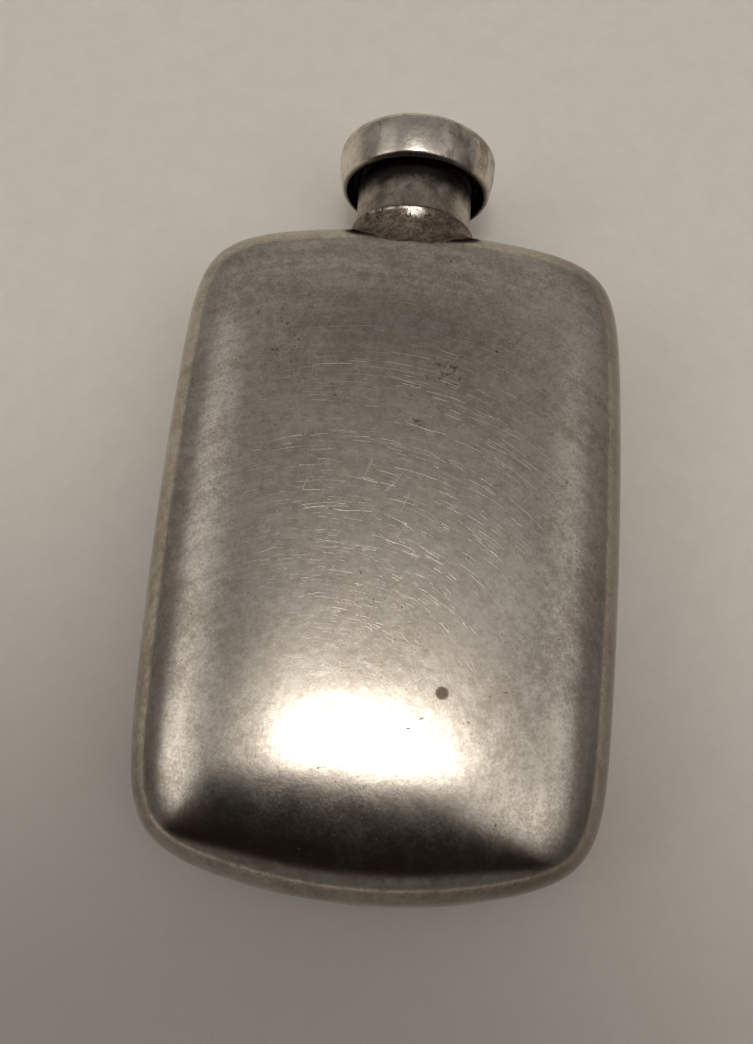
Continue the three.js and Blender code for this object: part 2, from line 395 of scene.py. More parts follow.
def thread_radius(height, wall, root, crest, low, high, phase):
    """The wall's radius at a height, with the screw's ridge standing on it in each direction."""
    angle = directions()
    helix = phase + angle / (2 * math.pi) * PITCH
    nearest = np.round((height - helix) / PITCH)
    axis_height = helix + nearest * PITCH
    away = np.abs(height - axis_height)
    slope = (away - RIDGE_HALF_CREST) / (RIDGE_HALF_BASE - RIDGE_HALF_CREST)
    end = np.minimum(axis_height - low, high - axis_height) / PITCH
    rise = np.clip(end / RIDGE_FADE_TURNS, 0, 1)
    top = wall + (crest - wall) * rise
    ridge = top + (root - top) * np.clip(slope, 0, 1)
    if crest > wall:
        return np.where(rise > 0, np.maximum(wall, ridge), wall)
    return np.where(rise > 0, np.minimum(wall, ridge), wall)


def rounded(corners, radius, steps=4):
    """A profile with each inner corner rounded: corners are (radius, height) pairs."""
    points = [corners[0]]
    for before, corner, after in zip(corners, corners[1:], corners[2:]):
        corner = np.array(corner, float)
        back = np.array(before, float) - corner
        on = np.array(after, float) - corner
        cut = min(radius, np.linalg.norm(back) / 2, np.linalg.norm(on) / 2)
        start = corner + back / np.linalg.norm(back) * cut
        end = corner + on / np.linalg.norm(on) * cut
        for i in range(steps + 1):
            t = i / steps
            points.append(tuple((1 - t) ** 2 * start + 2 * t * (1 - t) * corner + t**2 * end))
    points.append(corners[-1])
    return points


def shoulder_under(radius):
    """The height of the shoulder's surface round the neck's axis, at a radius."""
    angle = directions()
    return shoulder_y(radius * np.sin(angle), MID_PLANE + radius * np.cos(angle))


def make_neck(material):
    """The neck: a spigot inside the case, a stepped foot, a plain tube and the screw thread."""
    angle = directions()
    out_of_round = 0.02 * np.cos(2 * angle + 0.7) + 0.008 * np.cos(5 * angle)
    foot_radius = FOOT_RADIUS - FOOT_FLAT * np.cos(angle) ** 2
    foot = shoulder_under(foot_radius) - FOOT_SUNK
    skirt_radius = foot_radius - FOOT_LEAN
    inside = [
        (BORE_RADIUS, LIP - LIP_ROUND),
        (BORE_RADIUS, SPIGOT_END + 0.1),
        (BORE_RADIUS + 0.08, SPIGOT_END),
        (SPIGOT_RADIUS - 0.08, SPIGOT_END),
        (SPIGOT_RADIUS, SPIGOT_END + 0.1),
        (SPIGOT_RADIUS, foot),
    ]
    outside = [(skirt_radius, foot)]
    for share in np.linspace(0, 1, 9)[1:]:
        outside.append((skirt_radius, foot * (1 - share) + FOOT_LEVEL * share))
    for share in np.linspace(0, 1, 6)[1:]:
        radius = foot_radius - FOOT_LEAN * (1 - share)
        outside.append((radius, FOOT_LEVEL + (FOOT_EDGE - FOOT_LEVEL) * share))
    for share in np.linspace(0, 1, 13)[1:]:
        swell = math.sin(math.pi * share) * FOOT_BEAD
        step = (foot_radius - NECK_RADIUS) * share**3
        outside.append((foot_radius - step + swell, FOOT_EDGE + (FOOT_TOP - FOOT_EDGE) * share))
    for height in np.linspace(FOOT_TOP + 0.1, PLAIN_TOP - 0.12, 16):
        outside.append((NECK_RADIUS, height))
    columns = inside + [(radius + out_of_round, height) for radius, height in outside]
    columns.append((NECK_RADIUS - 0.04, PLAIN_TOP - 0.02))
    columns.append((CORE_RADIUS + 0.05, PLAIN_TOP + 0.14))
    for height in np.linspace(PLAIN_TOP + 0.17, LIP - 0.18, 52):
        columns.append((thread_radius(height, **NECK_RIDGE), height))
    columns += [
        (CORE_RADIUS, LIP - LIP_ROUND),
        (CORE_RADIUS - FINE_EDGE, LIP - FINE_EDGE),
        (CORE_RADIUS - LIP_ROUND, LIP),
        (BORE_RADIUS + LIP_ROUND, LIP),
        (BORE_RADIUS + FINE_EDGE, LIP - FINE_EDGE),
    ]
    points, faces = turn(columns)
    return as_piece("neck", points, faces, material, "case", ["neck_tube"])


def make_fillet(material):
    """The solder round the foot of the neck: a hollow run that fills the corners beside the foot."""
    angle = directions()
    around = 4 * np.column_stack([np.sin(angle), np.cos(angle), 0 * angle])
    draw = unevenness(around, 3.4, seed=8)
    fine_draw = unevenness(around, 1.1, seed=9)
    side = np.sin(angle) ** 2
    left = np.clip(-np.sin(angle), 0, 1)
    corner = np.abs(np.sin(2 * angle)) ** 1.5
    foot_radius = FOOT_RADIUS - FOOT_FLAT * np.cos(angle) ** 2
    ragged = 0.04 * draw + 0.02 * fine_draw
    spread = 0.14 + 0.30 * side**2 + 0.26 * left**4 + 0.36 * corner + ragged
    climb = 0.24 + 0.16 * side**2 + 0.28 * corner + ragged
    crest_radius = foot_radius - 0.08
    above = 0.012
    below = 0.1
    columns = []
    for i in range(FILLET_STEPS + 1):
        bend = math.pi / 2 * i / FILLET_STEPS
        radius = crest_radius + spread * (1 - math.cos(bend))
        lift = climb * (1 - math.sin(bend))
        columns.append((radius, shoulder_under(radius) + lift + above))
    edge = crest_radius + spread
    inner = foot_radius - 0.2
    columns.append((edge - 0.03, shoulder_under(edge) - below))
    columns.append((inner, shoulder_under(inner) - below))
    columns.append((inner, columns[0][1] - 0.04))
    points, faces = turn(columns)
    return as_piece(
        "shoulder_solder", points, faces, material, "case", sharp=60
    )


def quarter_ellipse(radius, end_radius, waist, end, steps=22):
    """From the widest point of a quarter of an ellipse to its end on the given side."""
    angle = np.linspace(0, math.pi / 2, steps + 1)
    radii = end_radius + (radius - end_radius) * np.cos(angle)
    heights = waist + (end - waist) * np.sin(angle)
    return list(zip(radii, heights))


def cap_side(radius, end_radius, waist, end, steps=30):
    """The cap's side from its widest place to its rim: nearly straight, then turned in."""
    share = np.linspace(0, 1, steps + 1) ** 0.5
    drop = 0.75 * share**1.9 + 0.25 * share**30
    return list(zip(radius - (radius - end_radius) * drop, waist + (end - waist) * share))


def make_cap(material, lining):
    """The cap: a hollow bun pressed from one piece, with its lip turned in round the neck."""
    outer_top = quarter_ellipse(CAP_RADIUS, POLE, CAP_WAIST, CAP_TOP)
    outer_bottom = cap_side(CAP_RADIUS, CAP_RIM_RADIUS, CAP_WAIST, CAP_RIM + 0.1)
    inner = CAP_RADIUS - CAP_SHEET
    inner_bottom = quarter_ellipse(inner, CAP_LIP_RADIUS, CAP_WAIST, CAP_RIM + CAP_SHEET / 2)
    inner_top = quarter_ellipse(inner, POLE, CAP_WAIST, CAP_TOP - CAP_SHEET)
    lip = [
        (CAP_RIM_RADIUS - 0.04, CAP_RIM + 0.03),
        (CAP_RIM_RADIUS - 0.10, CAP_RIM),
        (CAP_LIP_RADIUS + 0.06, CAP_RIM),
        (CAP_LIP_RADIUS + 0.01, CAP_RIM + 0.08),
    ]
    columns = outer_top[::-1] + outer_bottom[1:] + lip + inner_bottom[::-1] + inner_top[1:]
    points, faces = turn(columns, closed=False)

    # Old dents, pressed inwards and fading out towards the rim
    wave = 0.022 * unevenness(points, 6.0, seed=5) + 0.005 * unevenness(points, 2.2, seed=6)
    from_waist = points - np.array([0, SHOULDER_Y + CAP_WAIST - 1, MID_PLANE])
    away = from_waist / np.linalg.norm(from_waist, axis=1)[:, None]
    give = np.clip((points[:, 1] - SHOULDER_Y - CAP_RIM) / 1.5, 0, 1)
    points = points - away * (np.maximum(wave + 0.02, 0) * give)[:, None]

    outer_pole = [0, SHOULDER_Y + CAP_TOP, MID_PLANE]
    inner_pole = [0, SHOULDER_Y + CAP_TOP - CAP_SHEET, MID_PLANE]
    points = np.vstack([points, outer_pole, inner_pole])
    last = (len(columns) - 1) * ROUND_SEGMENTS
    for i in range(ROUND_SEGMENTS):
        step = (i + 1) % ROUND_SEGMENTS
        faces.append((i, step, len(points) - 2))
        faces.append((last + i, last + step, len(points) - 1))
    first_inner = (len(outer_top) + len(outer_bottom) - 1 + len(lip) - 1) * ROUND_SEGMENTS
    inside = (lining, first_inner, last)
    return as_piece(
        "cap_bun", points, faces, material, "cap", ["cap_shell"], sharp=50, inside=inside
    )


def make_sleeve(material):
    """The threaded sleeve soldered inside the cap."""
    columns = [
        (SLEEVE_OUTER_RADIUS, SLEEVE_TOP),
        (SLEEVE_OUTER_RADIUS, SLEEVE_BOTTOM + 0.05),
        (SLEEVE_OUTER_RADIUS - 0.05, SLEEVE_BOTTOM),
        (SLEEVE_INNER_RADIUS + 0.05, SLEEVE_BOTTOM),
        (SLEEVE_INNER_RADIUS, SLEEVE_BOTTOM + 0.05),
    ]
    for height in np.linspace(SLEEVE_BOTTOM + 0.08, LINER_BOTTOM, 50):
        columns.append((thread_radius(height, **SLEEVE_RIDGE), height))
    columns.append((SLEEVE_INNER_RADIUS, SLEEVE_TOP))
    points, faces = turn(columns)
    return as_piece("cap_screw", points, faces, material, "cap", ["cap_sleeve"])


def make_liner(material):
    """The cork disc that the cap presses on the lip of the neck."""
    corners = [
        (POLE, LINER_BOTTOM),
        (LINER_RADIUS, LINER_BOTTOM),
        (LINER_RADIUS, LINER_TOP),
        (POLE, LINER_TOP),
    ]
    profile = rounded(corners, LINER_ROUND)
    points, faces = turn(profile, closed=True)
    grain = unevenness(points, 0.9, seed=12)
    inward = np.array([1.0, 0.6, 1.0])
    middle = np.array([0, SHOULDER_Y + (LINER_BOTTOM + LINER_TOP) / 2, MID_PLANE])
    points = middle + (points - middle) * (1 - 0.012 * np.abs(grain)[:, None] * inward)
    return as_piece("cork_seal", points, faces, material, "liner", ["cap_liner"])


# ---------------------------------------------------------------- node graphs


# Where the colour sockets of a Mix node stand among all its sockets
MIX_COLOUR_A, MIX_COLOUR_B, MIX_COLOUR_RESULT = 6, 7, 2


class Field:
    """A number or colour made by nodes, on which arithmetic builds Math nodes."""

    def __init__(self, graph, socket):
        self.graph = graph
        self.socket = socket

    def __add__(self, other):
        return self.graph.math("ADD", self, other)

    def __radd__(self, other):
        return self.graph.math("ADD", other, self)

    def __sub__(self, other):
        return self.graph.math("SUBTRACT", self, other)

    def __rsub__(self, other):
        return self.graph.math("SUBTRACT", other, self)

    def __mul__(self, other):
        return self.graph.math("MULTIPLY", self, other)

    def __rmul__(self, other):
        return self.graph.math("MULTIPLY", other, self)

    def __truediv__(self, other):
        return self.graph.math("DIVIDE", self, other)


class Graph:
    """Adds nodes to one node tree and joins them up."""

    def __init__(self, tree):
        self.tree = tree
        tree.nodes.clear()

    def node(self, kind, **settings):
        made = self.tree.nodes.new(kind)
        for name, value in settings.items():
            setattr(made, name, value)
        return made

    def give(self, socket, value):
        if isinstance(value, Field):
            self.tree.links.new(value.socket, socket)
        elif isinstance(value, (tuple, list)) and socket.type == "RGBA":
            socket.default_value = (*value, 1)
        else:
            socket.default_value = value

    def math(self, operation, *values):
        made = self.node("ShaderNodeMath", operation=operation)
        for socket, value in zip(made.inputs, values):
            self.give(socket, value)
        return Field(self, made.outputs[0])

    def vector(self, operation, *values, scale=None):
        made = self.node("ShaderNodeVectorMath", operation=operation)
        for socket, value in zip(made.inputs, values):
            self.give(socket, value)
        if scale is not None:
            self.give(made.inputs["Scale"], scale)
        name = "Value" if operation in ("DOT_PRODUCT", "LENGTH", "DISTANCE") else "Vector"
        return Field(self, made.outputs[name])

    def split(self, vector):
        made = self.node("ShaderNodeSeparateXYZ")
        self.give(made.inputs[0], vector)
        return [Field(self, made.outputs[axis]) for axis in range(3)]

    def join(self, x, y, z=0.0):
        made = self.node("ShaderNodeCombineXYZ")
        for socket, value in zip(made.inputs, (x, y, z)):
            self.give(socket, value)
        return Field(self, made.outputs[0])

    def ramp(self, value, low, high, to_low=0.0, to_high=1.0):
        """value carried smoothly from the range low..high to the range to_low..to_high."""
        made = self.node("ShaderNodeMapRange", interpolation_type="SMOOTHSTEP")
        for name, given in (
            ("Value", value),
            ("From Min", low),
            ("From Max", high),
            ("To Min", to_low),
            ("To Max", to_high),
        ):
            self.give(made.inputs[name], given)
        return Field(self, made.outputs["Result"])

    def noise(self, vector, scale, detail=3.0, roughness=0.55, distortion=0.0):
        made = self.node("ShaderNodeTexNoise")
        for name, given in (
            ("Vector", vector),
            ("Scale", scale),
            ("Detail", detail),
            ("Roughness", roughness),
            ("Distortion", distortion),
        ):
            self.give(made.inputs[name], given)
        return Field(self, made.outputs["Fac"])

    def chance(self, vector):
        """Three random numbers from 0 to 1 for each value of a vector."""
        made = self.node("ShaderNodeTexWhiteNoise", noise_dimensions="3D")
        self.give(made.inputs["Vector"], vector)
        return self.split(Field(self, made.outputs["Color"]))

    def mix(self, share, first, second):
        """A colour between two, each a colour triple or a field."""
        made = self.node("ShaderNodeMix", data_type="RGBA")
        self.give(made.inputs["Factor"], share)
        self.give(made.inputs[MIX_COLOUR_A], first)
        self.give(made.inputs[MIX_COLOUR_B], second)
        return Field(self, made.outputs[MIX_COLOUR_RESULT])

    def bump(self, height, distance, strength=1.0):
        made = self.node("ShaderNodeBump")
        self.give(made.inputs["Strength"], strength)
        self.give(made.inputs["Distance"], distance)
        self.give(made.inputs["Height"], height)
        return Field(self, made.outputs["Normal"])

    def millimetres(self):
        """The place on the piece in the row frame, in millimetres."""
        place = self.node("ShaderNodeTexCoord")
        return self.vector("SCALE", Field(self, place.outputs["Object"]), scale=1 / MM)


def new_material(name):
    material = bpy.data.materials.new(name)
    material.use_nodes = True
    return material, Graph(material.node_tree)


def end_material(graph, **given):
    shader = graph.node("ShaderNodeBsdfPrincipled")
    for name, value in given.items():
        graph.give(shader.inputs[name.replace("_", " ")], value)
    output = graph.node("ShaderNodeOutputMaterial")
    graph.tree.links.new(shader.outputs[0], output.inputs["Surface"])


# ---------------------------------------------------------------- silver


def scratch_layer(graph, along, across, length, spacing, slope, width, seed):
    """Short straight marks, one in each cell of a grid whose rows are shifted at random.

    along and across are millimetre coordinates; every mark has its own place, lean and strength.
    """
    row = graph.math("FLOOR", across / spacing)
    shift = graph.chance(graph.join(row, seed, 0.5))[0]
    place = along / length + shift
    cell = graph.math("FLOOR", place)
    first, second, third = graph.chance(graph.join(cell, row, seed))
    u = place - cell - 0.5
    v = across / spacing - row - 0.5
    reach = 0.14 + third * 0.36
    lean = (second - 0.5) * (slope * length)
    off = (v - (first - 0.5) * 0.6) * spacing - lean * u
    line = graph.ramp(graph.math("ABSOLUTE", off), width, width * 0.35)
    inside = graph.ramp(graph.math("ABSOLUTE", u) - reach, 0.0, -0.08)
    chance = graph.math("FRACT", third * 7.31)
    strength = graph.math("POWER", chance, 4.0) * 0.9 + graph.ramp(chance, 0.2, 0.4) * 0.2
    return line * inside * strength


def round_spot(graph, place, x, y, radius, softness=0.35):
    """1 inside a round spot on the front face, whatever its depth."""
    away = graph.vector("DISTANCE", graph.vector("MULTIPLY", place, (1, 1, 0)), (x, y, 0))
    return graph.ramp(away, radius * (1 + softness), radius * (1 - softness))


def largest(graph, fields):
    result = fields[0]
    for field in fields[1:]:
        result = graph.math("MAXIMUM", result, field)
    return result


# Colours, as linear red, green and blue
CLEAN_SILVER = (0.80, 0.73, 0.635)
DULL_SILVER = (0.46, 0.40, 0.33)
BROWN_TARNISH = (0.25, 0.18, 0.13)
BLACK_PIT = (0.05, 0.042, 0.035)
BARE_SILVER_GLINT = (0.98, 0.94, 0.87)
SEAM_BAND_DARK = (0.12, 0.095, 0.072)
SPOT_DARK, SPOT_LIGHT = (0.13, 0.09, 0.064), (0.25, 0.19, 0.14)
NECK_LIGHT, NECK_DARK = (0.50, 0.44, 0.37), (0.25, 0.205, 0.165)
NECK_SIDE_SHEEN = (0.72, 0.65, 0.56)
NECK_TARNISH_AND_SHADE = (0.022, 0.018, 0.015)
RUBBED_FOOT_HIGHLIGHT = (0.93, 0.87, 0.77)
CRUST_DARK, CRUST_LIGHT = (0.13, 0.09, 0.066), (0.34, 0.27, 0.21)
CAP_LIGHT, CAP_DULL = (0.82, 0.75, 0.655), (0.42, 0.36, 0.295)
CAP_BLOTCH = (0.15, 0.115, 0.088)
CAP_RIM_DARK = (0.07, 0.055, 0.045)
LINING_SHADE_DARK, LINING_SHADE_LIGHT = (0.012, 0.010, 0.008), (0.035, 0.028, 0.022)
SOLDER_LIGHT, SOLDER_DARK = (0.34, 0.27, 0.21), (0.13, 0.095, 0.07)
CORK_LIGHT, CORK_DARK = (0.50, 0.31, 0.16), (0.28, 0.15, 0.07)
CORK_PORE = (0.07, 0.035, 0.018)
PAPER_FIBRE = (0.3, 0.28, 0.25)

# Places where pits crowd on the front face, from the case's centre, with radii and how densely
PITTED = [
    (3.3, 10.3, 1.0, 1.3),
    (1.0, 9.2, 0.8, 1.0),
    (1.4, 6.8, 0.6, 1.2),
    (-6.6, 10.6, 2.4, 0.7),
    (-8.2, 13.2, 1.6, 0.6),
    (6.5, 12.5, 1.6, 0.5),
    (-3.0, -2.8, 0.3, 1.0),
    (11.0, 3.6, 0.5, 0.9),
    (7.5, -17.2, 0.3, 1.2),
]
# The one brown spot near the front face's lower edge, in the same way
BROWN_SPOT = (4.0, -9.9, 0.40)


def speckled(graph, field, dots, sparse=0.70):
    """Ragged dark dots inside a field that is 1 where they crowd together."""
    return graph.ramp(dots + field * 0.16, sparse, sparse + 0.05)


def scratch_arcs_round_highlight(graph, x, y, radius, sweep):
    """Fine scratch marks, painted bright as glints: most along arcs round the lamp's highlight, some
    across them.
    """
    crossed = sweep - radius * 0.3
    crossed_row = radius + sweep * 0.3
    along = x * 0.5 + y * 0.85
    along_row = y * 0.5 - x * 0.85
    layers = [
        scratch_layer(graph, sweep, radius, 2.2, 0.26, 0.16, 0.020, 1.5),
        scratch_layer(graph, sweep, radius + 0.13, 3.4, 0.42, 0.18, 0.022, 2.5),
        scratch_layer(graph, sweep + 0.7, radius + 0.31, 1.3, 0.21, 0.14, 0.017, 3.5),
        scratch_layer(graph, crossed, crossed_row, 1.6, 0.6, 0.4, 0.02, 4.5) * 0.5,
        scratch_layer(graph, along, along_row, 2.2, 1.3, 0.5, 0.022, 5.5) * 0.6,
    ]
    return largest(graph, layers)


def case_silver(name, front):
    """Polished silver gone grey with wear: mottled, pitted, and scratched across its middle, with
    the scratch marks painted bright as glints.
    """
    material, graph = new_material(name)
    place = graph.millimetres()
    x, y, z = graph.split(place)
    centre_y = float(CASE_CENTRE_Y)

    cloud = graph.noise(place, 0.16, detail=5.0, roughness=0.6)
    patch = graph.noise(place, 0.55, detail=4.0, roughness=0.62, distortion=0.6)
    mottle = graph.noise(place, 1.6, detail=5.0, roughness=0.72)
    grain = graph.noise(place, 5.5, detail=3.0, roughness=0.7)
    fine = graph.noise(place, 14.0, detail=2.0, roughness=0.6)
    dots = graph.noise(place, 3.1, detail=3.0, roughness=0.7)
    brushed = graph.vector("MULTIPLY", place, (4.0, 0.9, 0.9))
    brushing = graph.noise(brushed, 1.0, detail=3.0, roughness=0.6)

    # Painted glints: arcs round a point below the case's middle, where the lamp's highlight lies,
    # since scratch marks gleam along such arcs
    arc_x = x + 3.0
    arc_y = y - (centre_y - 14.0)
    radius = graph.vector("LENGTH", graph.join(arc_x, arc_y))
    sweep = graph.math("ARCTAN2", arc_x, arc_y) * 20.0
    smeared = graph.join(sweep * 0.22, radius * 1.5, z * 0.2)
    smear = graph.noise(smeared, 1.0, detail=5.0, roughness=0.7)
    marks = scratch_arcs_round_highlight(graph, x, y, radius, sweep)
    offset = graph.vector("SUBTRACT", place, (0.5, centre_y + 3.2, 0))
    worn = graph.vector("LENGTH", graph.vector("MULTIPLY", offset, (1 / 11.5, 1 / 12.5, 0)))
    field = graph.ramp(worn + (patch - 0.5) * 0.9, 1.25, 0.6, 0.06, 1.0)
    scratches_and_glints = marks * field * graph.ramp(smear, 0.36, 0.62, 0.3, 1.0)

    haze = graph.ramp(grain * 0.45 + fine * 0.2 + patch * 0.25 + smear * 0.25, 0.50, 0.70)
    dullness = graph.ramp(cloud * 0.5 + patch * 0.3 + mottle * 0.2, 0.40, 0.60)
    tone = dullness * 0.55 + (mottle - 0.5) * 1.5 + (grain - 0.5) * 2.6 + (smear - 0.5) * 1.8
    tone = graph.ramp(tone, -0.6, 1.1)
    base = graph.mix(tone, CLEAN_SILVER, DULL_SILVER)
    brown = graph.ramp(patch * 0.5 + cloud * 0.3 + mottle * 0.2, 0.52, 0.68)
    base = graph.mix(brown * 0.26, base, BROWN_TARNISH)
    # Darker within about 4 mm of the seam's plane, most of all on the right side
    edge = graph.ramp(graph.math("ABSOLUTE", z - float(MID_PLANE)), 4.3, 2.8)
    right = graph.ramp(x, -6.0, 14.0, 0.42, 0.72)
    base = graph.mix(edge * right, base, SEAM_BAND_DARK)

    crowd = graph.ramp(cloud, 0.5, 0.62) * 0.35
    if front:
        crowded = [crowd]
        for spot_x, spot_y, size, share in PITTED:
            crowded.append(round_spot(graph, place, spot_x, centre_y + spot_y, size, 0.95) * share)
        crowd = largest(graph, crowded)
    pit = speckled(graph, crowd, dots)
    base = graph.mix(pit * 0.85, base, BLACK_PIT)
    spot_rough = 0.0
    if front:
        spot_x, spot_y, size = BROWN_SPOT
        spot = round_spot(graph, place, spot_x, centre_y + spot_y, size, 0.32)
        base = graph.mix(spot * 0.92, base, graph.mix(mottle, SPOT_DARK, SPOT_LIGHT))
        spot_rough = spot * 0.3
    # Scratch marks painted bare-silver bright: worn silver, and painted glints
    base = graph.mix(scratches_and_glints * 0.75, base, BARE_SILVER_GLINT)

    rough = 0.15 + dullness * 0.03 + haze * 0.07 + scratches_and_glints * 0.20 + pit * 0.3 + spot_rough
    height = patch * 0.007 + brushing * 0.0018 + mottle * 0.0030 + smear * 0.0016
    height = height + grain * 0.0005 - scratches_and_glints * 0.0006
    end_material(
        graph, Base_Color=base, Metallic=1.0, Roughness=rough, Normal=graph.bump(height, MM)
    )
    return material


def neck_silver(name):
    """Dull silver of the neck: blotched; tarnished and painted with shade to almost black under the
    cap; rubbed bright, with a painted highlight, at the foot.
    """
    material, graph = new_material(name)
    place = graph.millimetres()
    x, y, z = graph.split(place)
    up = y - float(SHOULDER_Y)
    drawn = graph.vector("MULTIPLY", place, (1.6, 0.6, 1.6))
    streak = graph.noise(drawn, 1.0, detail=5.0, roughness=0.68)
    blotch = graph.noise(place, 0.9, detail=5.0, roughness=0.66, distortion=0.5)
    grain = graph.noise(place, 4.5, detail=4.0, roughness=0.7)
    dots = graph.noise(place, 3.6, detail=3.0, roughness=0.75)
    foot = graph.ramp(up + (blotch - 0.5) * 1.2, 0.95, 0.45)
    cap_shade_and_tarnish = graph.ramp(up + (blotch - 0.5) * 1.4, 1.7, 3.3)
    pit = graph.ramp(dots + foot * 0.07 + cap_shade_and_tarnish * 0.05, 0.66, 0.72)

    base = graph.mix(graph.ramp(streak * 0.4 + blotch * 0.6, 0.36, 0.62), NECK_LIGHT, NECK_DARK)
    # A painted reflection: a pale upright band down the right side of the neck
    side_sheen = graph.ramp(x, 2.6, 3.2) * graph.ramp(x, 4.0, 3.7)
    base = graph.mix(side_sheen * 0.5, base, NECK_SIDE_SHEEN)
    crust_tone = graph.ramp(grain * 0.5 + blotch * 0.5, 0.42, 0.60)
    crust = graph.mix(crust_tone, CRUST_DARK, CRUST_LIGHT)
    base = graph.mix(foot * 0.95, base, crust)
    # Tarnish, and painted shade almost to black, under the cap
    base = graph.mix(cap_shade_and_tarnish * 0.95, base, NECK_TARNISH_AND_SHADE)

    # The foot's edge and one patch of it, left of the middle and on the front only, are painted
    # bright: rubbed silver, and a painted highlight of the lamp
    along_edge = graph.ramp(x, -3.4, -2.6) * graph.ramp(x, 0.9, 0.2)
    thin = graph.ramp(graph.math("ABSOLUTE", up - 0.42), 0.14, 0.05)
    from_patch = graph.join(x - 0.15, up - 0.18)
    patch_place = graph.vector("MULTIPLY", from_patch, (1 / 0.62, 1 / 0.42, 1.0))
    ragged = (grain - 0.5) * 2.2 + (blotch - 0.5) * 1.6
    patch = graph.ramp(graph.vector("LENGTH", patch_place) + ragged, 1.15, 0.7)
    worn = graph.ramp(streak, 0.40, 0.58, 0.15, 0.85)
    rubbed_and_highlight = graph.math("MAXIMUM", along_edge * thin * worn, patch) * (1.0 - pit)
    in_front = graph.ramp(z - float(MID_PLANE), 0.0, 1.0)
    rubbed_and_highlight = rubbed_and_highlight * in_front
    base = graph.mix(rubbed_and_highlight * 0.95, base, RUBBED_FOOT_HIGHLIGHT)
    base = graph.mix(pit * 0.9, base, BLACK_PIT)

    rough = 0.36 + blotch * 0.12 - rubbed_and_highlight * 0.14 + pit * 0.2 + cap_shade_and_tarnish * 0.15
    height = streak * 0.008 + blotch * 0.02 + grain * 0.004 * (1.0 - rubbed_and_highlight) - pit * 0.02
    end_material(
        graph, Base_Color=base, Metallic=1.0, Roughness=rough, Normal=graph.bump(height, MM)
    )
    return material


def cap_silver(name):
    """The cap's silver: brighter than the neck, with dark blotches on its right side."""
    material, graph = new_material(name)
    place = graph.millimetres()
    x, y, _ = graph.split(place)
    from_rim = y - float(SHOULDER_Y + CAP_RIM)
    cloud = graph.noise(place, 0.32, detail=5.0, roughness=0.6)
    mottle = graph.noise(place, 1.3, detail=5.0, roughness=0.7)
    grain = graph.noise(place, 4.5, detail=4.0, roughness=0.7)
    blotch = graph.noise(place, 0.7, detail=6.0, roughness=0.7, distortion=0.8)
    right = graph.ramp(x, 0.0, 3.8)
    high = graph.ramp(from_rim, 1.6, 3.4)
    dark = graph.ramp(blotch + right * 0.10 + high * 0.05, 0.54, 0.68)
    rim = graph.ramp(from_rim, 0.22, 0.04)
    tone = graph.ramp(cloud, 0.35, 0.65) * 0.4 + right * 0.3 + high * 0.35 + (mottle - 0.5) * 1.5
    base = graph.mix(graph.ramp(tone, 0.0, 1.0), CAP_LIGHT, CAP_DULL)
    base = graph.mix(dark * 0.52, base, CAP_BLOTCH)
    # Darker within about 0.2 mm of the rim
    base = graph.mix(rim * 0.75, base, CAP_RIM_DARK)
    rough = 0.21 + graph.ramp(grain, 0.35, 0.65) * 0.07 + dark * 0.10
    height = blotch * 0.014 + mottle * 0.003 + grain * 0.001 - dark * 0.003
    end_material(
        graph, Base_Color=base, Metallic=1.0, Roughness=rough, Normal=graph.bump(height, MM)
    )
    return material


def cap_lining_shade(name):
    """The inside of the cap and its screw sleeve: tarnished silver, painted almost black as painted
    shade.
    """
    material, graph = new_material(name)
    place = graph.millimetres()
    cloud = graph.noise(place, 1.4, detail=4.0, roughness=0.6)
    # Near-black colour: tarnish and painted shade
    base = graph.mix(cloud, LINING_SHADE_DARK, LINING_SHADE_LIGHT)
    normal = graph.bump(cloud * 0.02, MM)
    end_material(graph, Base_Color=base, Metallic=0.3, Roughness=0.7 + cloud * 0.2, Normal=normal)
    return material


def solder_metal(name):
    """Solder: greyer than silver, lumpy and browned."""
    material, graph = new_material(name)
    place = graph.millimetres()
    lump = graph.noise(place, 2.2, detail=5.0, roughness=0.7)
    grain = graph.noise(place, 7.0, detail=3.0, roughness=0.7)
    base = graph.mix(graph.ramp(lump, 0.36, 0.64), SOLDER_LIGHT, SOLDER_DARK)
    rough = 0.40 + graph.ramp(grain, 0.3, 0.7) * 0.24
    normal = graph.bump(lump * 0.03 + grain * 0.006, MM)
    end_material(graph, Base_Color=base, Metallic=1.0, Roughness=rough, Normal=normal)
    return material


def cork_material(name):
    """Old cork: warm brown granules with dark pores."""
    material, graph = new_material(name)
    place = graph.millimetres()
    granule = graph.node("ShaderNodeTexVoronoi")
    graph.give(granule.inputs["Vector"], place)
    graph.give(granule.inputs["Scale"], 1.7)
    tone = graph.split(Field(graph, granule.outputs["Color"]))[0]
    grain = graph.noise(place, 5.0, detail=4.0, roughness=0.7)
    pore = graph.ramp(graph.noise(place, 3.0, detail=2.0), 0.64, 0.7)
    base = graph.mix(tone * 0.6 + grain * 0.4, CORK_LIGHT, CORK_DARK)
    base = graph.mix(pore, base, CORK_PORE)
    normal = graph.bump(grain * 0.05 - pore * 0.08, MM)
    end_material(graph, Base_Color=base, Roughness=0.75 + grain * 0.2, Normal=normal)
    return material


# ---------------------------------------------------------------- floor, light and camera

FLOOR_HALF = 2000.0
PAPER_BRIGHT = (0.90, 0.85, 0.765)
PAPER_DIM = (0.40, 0.373, 0.345)
SHADE_PLACE = (-10.0, -64.0, 0.0)


